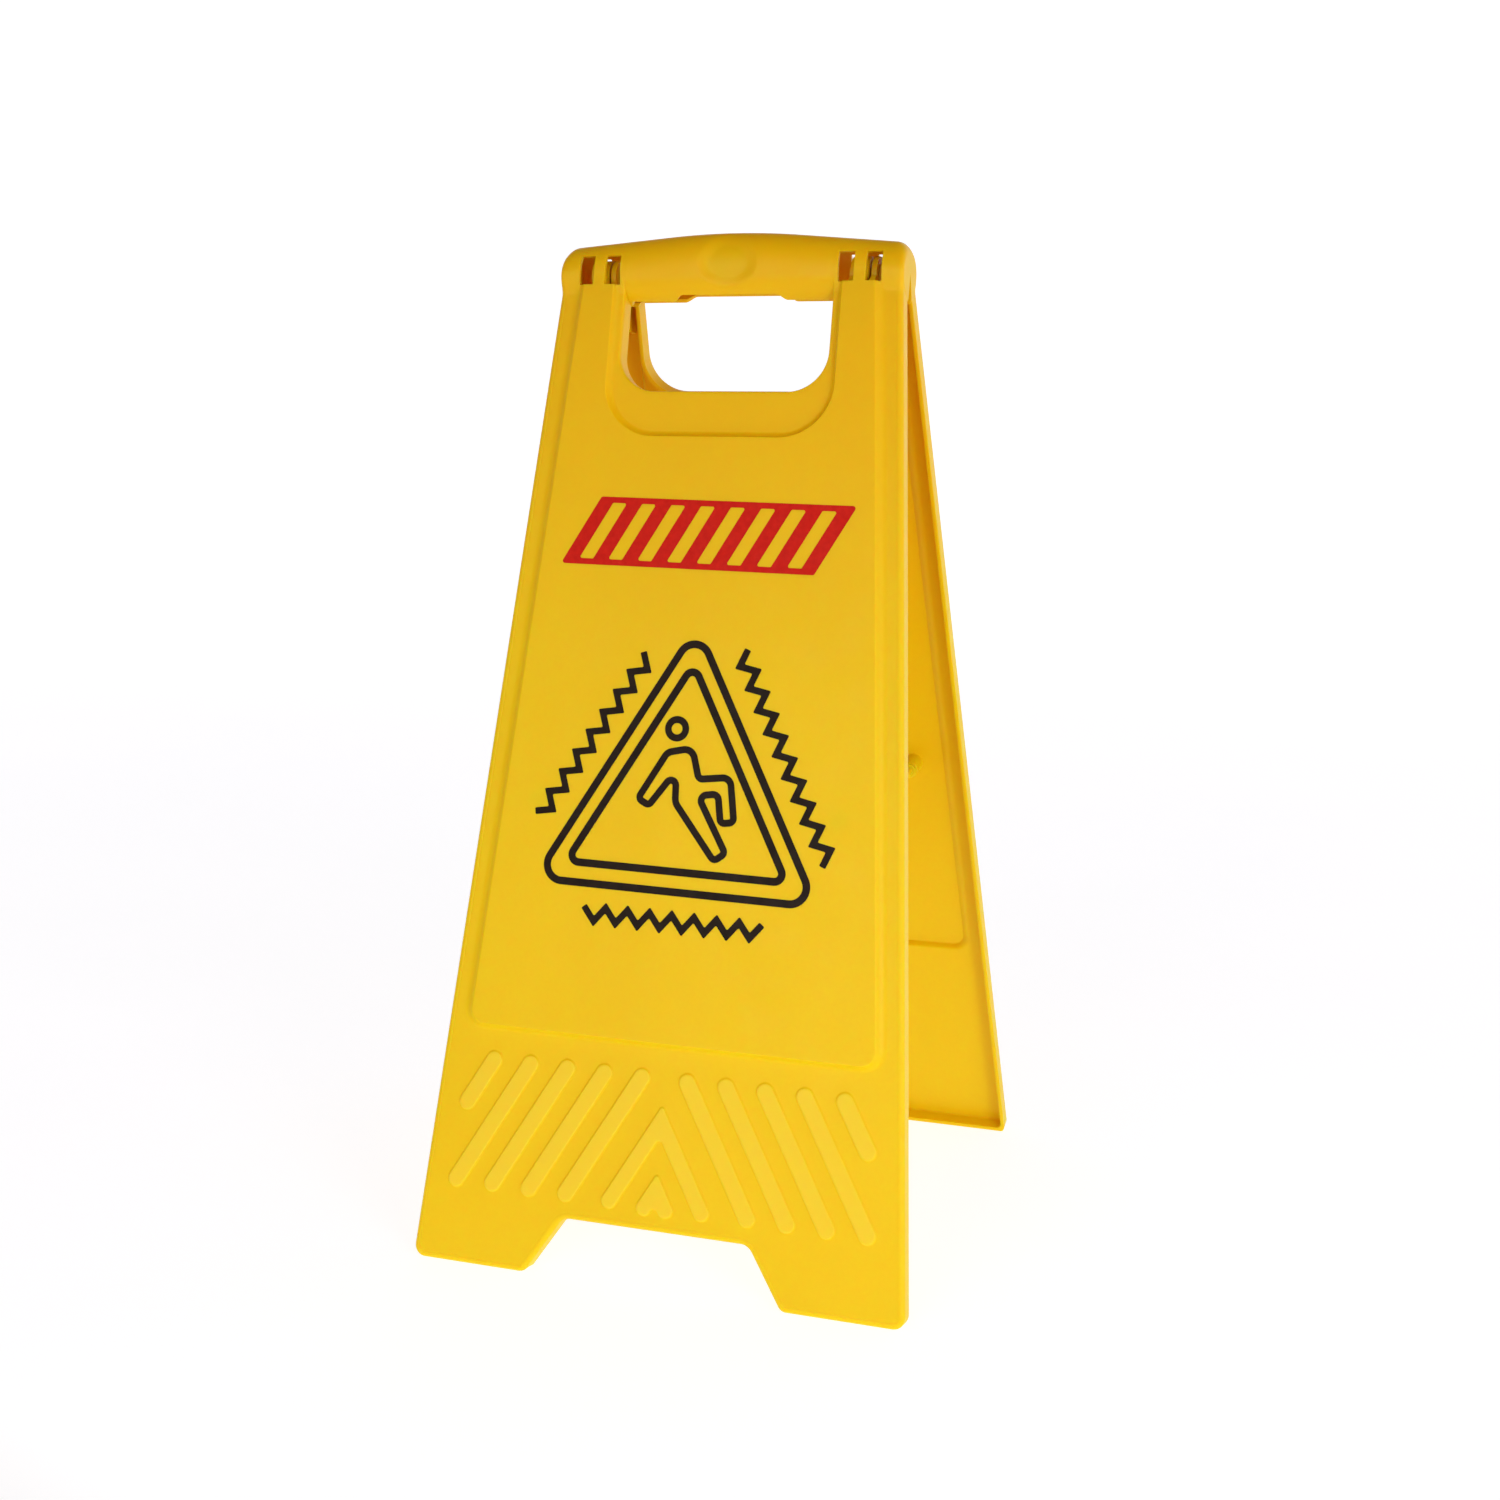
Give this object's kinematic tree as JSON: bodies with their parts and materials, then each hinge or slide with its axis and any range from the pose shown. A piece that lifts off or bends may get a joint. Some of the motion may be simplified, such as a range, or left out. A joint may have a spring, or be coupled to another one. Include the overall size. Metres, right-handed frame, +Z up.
{
  "type": "wet floor sign",
  "caption": "Folding A-frame floor sign: twin tapered moulded leaves hinged in a crowned carrying bar, with raised print panels and notched feet.",
  "frame": {"origin": "on the floor, midway between the feet, below the middle of the hinge", "axes": "+Z up, +X along the hinge to the right as seen from the front, the front leaf leans towards -Y"},
  "size_m": [0.299, 0.3126, 0.5967],
  "materials": {
    "leaf_plastic": "satin injection-moulded yellow polypropylene",
    "pin_steel": "plain zinc-plated steel",
    "red_ink": "screen-printed red ink",
    "black_ink": "screen-printed black ink"
  },
  "bodies": {
    "front": {"front_leaf": "leaf_plastic", "front_closing_peg": "leaf_plastic", "right_hinge_pin": "pin_steel", "right_pin_retainer": "pin_steel", "front_red_band": "red_ink", "front_outer_triangle": "black_ink", "front_inner_triangle": "black_ink", "front_figure_head": "black_ink", "front_figure_body": "black_ink", "front_left_mark": "black_ink", "front_right_mark": "black_ink", "front_bottom_mark": "black_ink"},
    "rear": {"rear_leaf": "leaf_plastic", "rear_closing_peg": "leaf_plastic", "left_hinge_pin": "pin_steel", "left_pin_retainer": "pin_steel", "rear_red_band": "red_ink", "rear_outer_triangle": "black_ink", "rear_inner_triangle": "black_ink", "rear_figure_head": "black_ink", "rear_figure_body": "black_ink", "rear_left_mark": "black_ink", "rear_right_mark": "black_ink", "rear_bottom_mark": "black_ink"}
  },
  "joints": [
    {"name": "fold", "type": "hinge", "parent": "front", "child": "rear", "pos_m": [0, 0, 0.572], "axis": [-1, 0, 0], "range_deg": [0, 27.9]}
  ]
}
